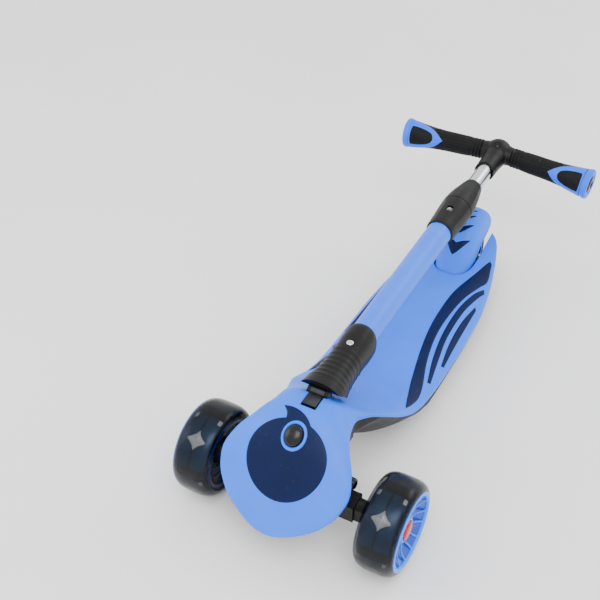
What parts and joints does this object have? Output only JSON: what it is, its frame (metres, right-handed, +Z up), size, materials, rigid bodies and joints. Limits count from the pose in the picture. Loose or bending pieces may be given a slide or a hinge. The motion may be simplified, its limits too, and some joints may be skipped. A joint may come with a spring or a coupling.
{
  "type": "kick scooter",
  "caption": "Folding three-wheel kick scooter for a child, shown folded: lean-to-steer front truck, telescoping T-handlebar, fender brake.",
  "frame": {"origin": "on the ground under the centre of the box of the folded scooter", "axes": "+Z up, -Y the way the rider faces (hood end), +Y towards the rear wheel and handlebar, +X the rider's left"},
  "size_m": [0.3044, 0.7255, 0.1926],
  "materials": {
    "light_blue": "satin moulded ABS",
    "navy": "satin soft overmould",
    "black_plastic": "fine texture",
    "black_rubber": "matte",
    "tube_blue": "gloss paint",
    "silver_tube": "brushed anodised",
    "steel": "zinc plated",
    "spring_steel": "bright",
    "smoke_tyre": "translucent cast polyurethane",
    "black_tyre": "cast polyurethane",
    "core_blue": "moulded core",
    "red_cap": "gloss",
    "light_flake": "metallic flake",
    "chrome": "polished"
  },
  "bodies": {
    "deck": {"deck_shell": "light_blue", "under_tray": "black_plastic", "deck_pads": "navy", "hood_panel": "navy", "button_ring": "light_blue", "front_frame": "steel", "fold_pin": "steel", "frame_bolts": "steel", "lean_pin": "steel", "spring_rod": "steel", "rod_knobs": "black_rubber", "lean_spring_left": "spring_steel", "lean_spring_right": "spring_steel", "rear_axle_bolt": "chrome", "rear_axle_nut": "chrome", "rear_spacers": "steel", "brake_pin": "steel", "fold_button_spring": "spring_steel", "brake_spring": "spring_steel"},
    "truck": {"axle_beam": "black_plastic", "front_axle_left": "steel", "front_axle_right": "steel"},
    "front_wheel_left": {"tyre_left": "smoke_tyre", "wheel_core_left": "core_blue", "wheel_bearings_left": "steel", "wheel_spokes_left": "light_blue", "hub_cap_left": "red_cap", "tyre_lights_left": "light_flake"},
    "front_wheel_right": {"tyre_right": "smoke_tyre", "wheel_core_right": "core_blue", "wheel_bearings_right": "steel", "wheel_spokes_right": "light_blue", "hub_cap_right": "red_cap", "tyre_lights_right": "light_flake"},
    "rear_wheel": {"rear_tyre": "black_tyre", "rear_core": "core_blue", "rear_bearings": "steel"},
    "rear_brake": {"brake_fender": "light_blue", "brake_shoe": "steel", "brake_chevrons": "navy"},
    "release_button": {"fold_button": "black_plastic"},
    "stem": {"stem_insert": "steel", "stem_tube": "tube_blue", "boot": "black_plastic", "boot_screw": "chrome", "clamp_lower": "black_plastic", "clamp_upper": "black_plastic", "tube_bush": "black_plastic"},
    "lock_button": {"height_button": "chrome"},
    "handlebar": {"inner_tube": "silver_tube", "handlebar_hub": "black_plastic", "handlebar_tube": "steel", "end_plugs": "black_rubber", "grip_insets": "black_rubber", "grip_left": "black_rubber", "grip_right": "black_rubber", "grip_sleeve_left": "light_blue", "grip_sleeve_right": "light_blue", "end_cap_left": "light_blue", "end_cap_right": "light_blue"}
  },
  "joints": [
    {"name": "truck_lean", "type": "hinge", "parent": "deck", "child": "truck", "pos_m": [0, -0.2768, 0.08], "axis": [0, -0.866, 0.5], "range_deg": [-10, 10], "stiffness_Nm_per_rad": 25, "deforming": ["lean_spring_left", "lean_spring_right"]},
    {"name": "front_left_spin", "type": "hinge", "parent": "truck", "child": "front_wheel_left", "pos_m": [0.123, -0.2768, 0.06], "axis": [1, 0, 0], "continuous": true},
    {"name": "front_right_spin", "type": "hinge", "parent": "truck", "child": "front_wheel_right", "pos_m": [-0.123, -0.2768, 0.06], "axis": [1, 0, 0], "continuous": true},
    {"name": "rear_spin", "type": "hinge", "parent": "deck", "child": "rear_wheel", "pos_m": [0, 0.2502, 0.04], "axis": [1, 0, 0], "continuous": true},
    {"name": "brake_press", "type": "hinge", "parent": "deck", "child": "rear_brake", "pos_m": [0, 0.1752, 0.056], "axis": [1, 0, 0], "range_deg": [-2.6, 0], "stiffness_Nm_per_rad": 12, "springref_deg": 5.73, "deforming": ["brake_spring"]},
    {"name": "release_push", "type": "slide", "parent": "deck", "child": "release_button", "axis": [0, 0.6, -0.8], "range_m": [0, 0.006], "stiffness_N_per_m": 400, "springref_m": -0.004, "deforming": ["fold_button_spring"]},
    {"name": "stem_fold", "type": "hinge", "parent": "deck", "child": "stem", "pos_m": [0, -0.2278, 0.175], "axis": [1, 0, 0], "range_deg": [0, 78]},
    {"name": "lock_push", "type": "slide", "parent": "stem", "child": "lock_button", "axis": [0, 0, -1], "range_m": [0, 0.003], "stiffness_N_per_m": 500, "springref_m": -0.002},
    {"name": "handlebar_height", "type": "slide", "parent": "stem", "child": "handlebar", "axis": [0, 1, 0], "range_m": [0, 0.2]}
  ]
}
